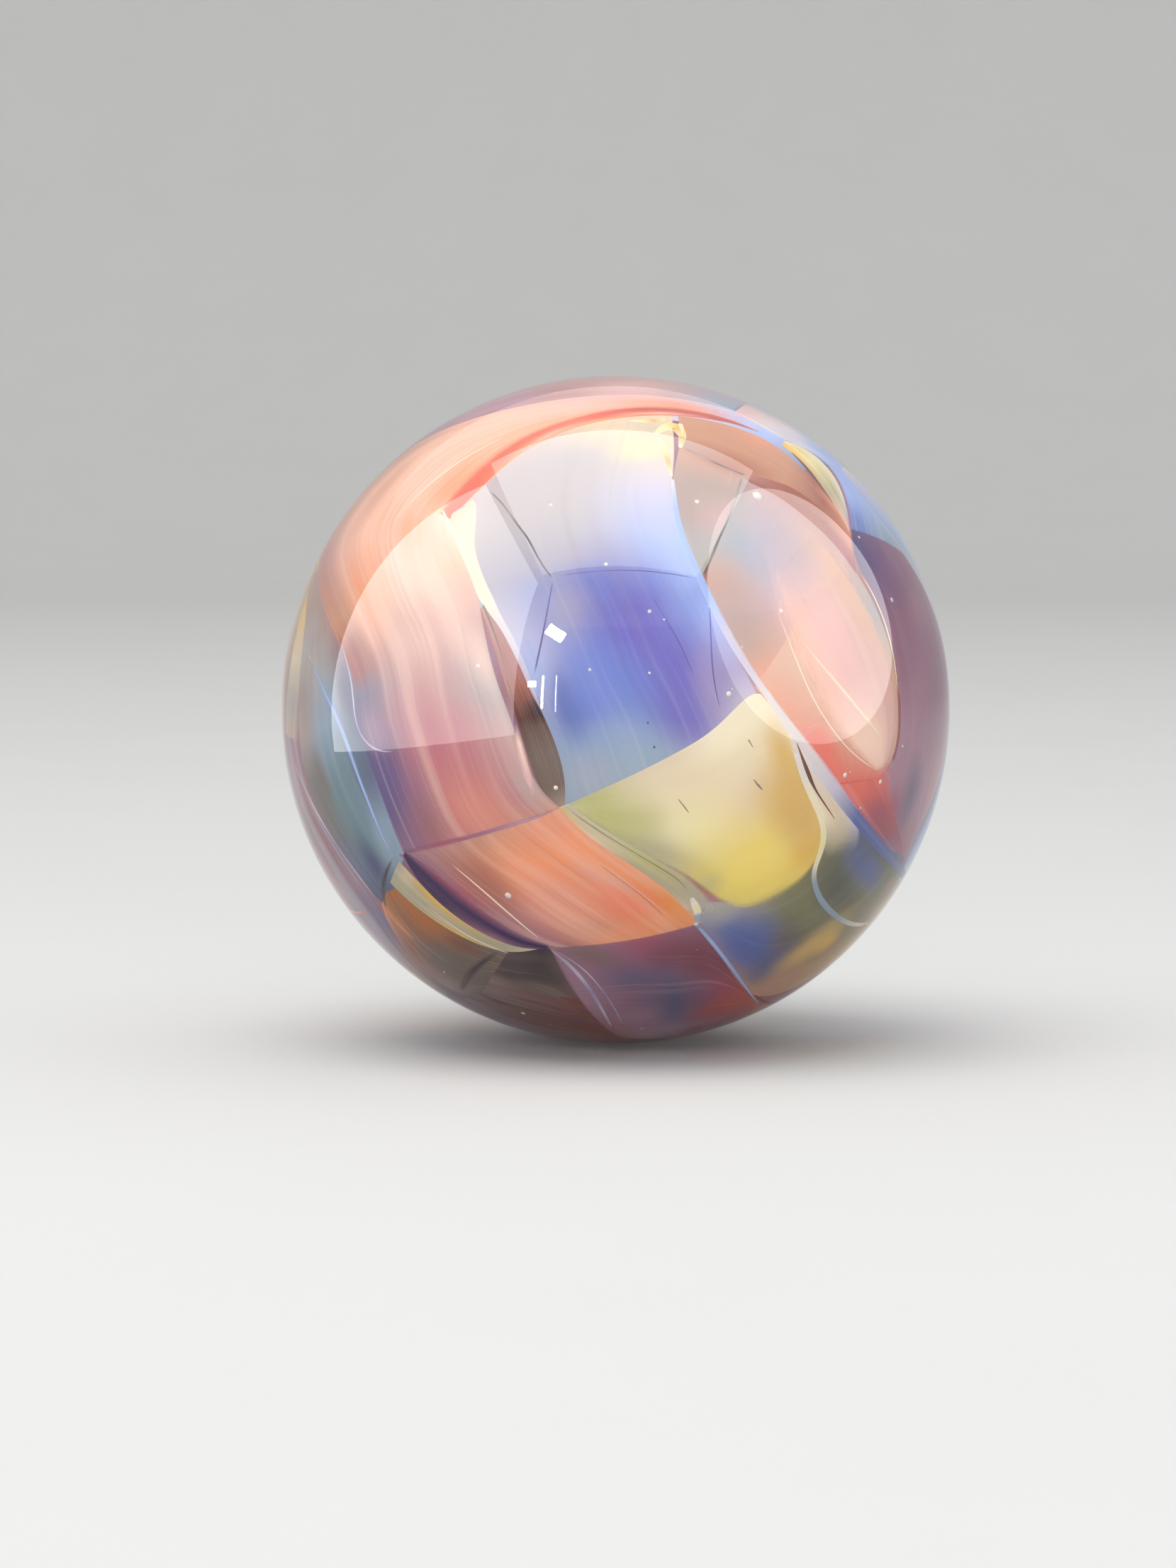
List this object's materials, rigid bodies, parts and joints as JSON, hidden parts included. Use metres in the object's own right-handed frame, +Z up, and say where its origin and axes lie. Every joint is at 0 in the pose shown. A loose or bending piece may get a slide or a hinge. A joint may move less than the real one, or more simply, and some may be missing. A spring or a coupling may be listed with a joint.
{
  "type": "glass marble",
  "caption": "Solid ball of clear glass with folded veils of opalescent colour sealed inside.",
  "frame": {"origin": "centre of the ball", "axes": "+Z up and -Y towards the viewer as it is shown; the ball is alike about every axis"},
  "size_m": [0.0381, 0.038, 0.0382],
  "materials": {
    "veiled_glass": "fire-polished clear glass over folded peach, coral, white, blue, yellow and plum veils"
  },
  "bodies": {
    "root": {"marble": "veiled_glass"}
  },
  "joints": []
}
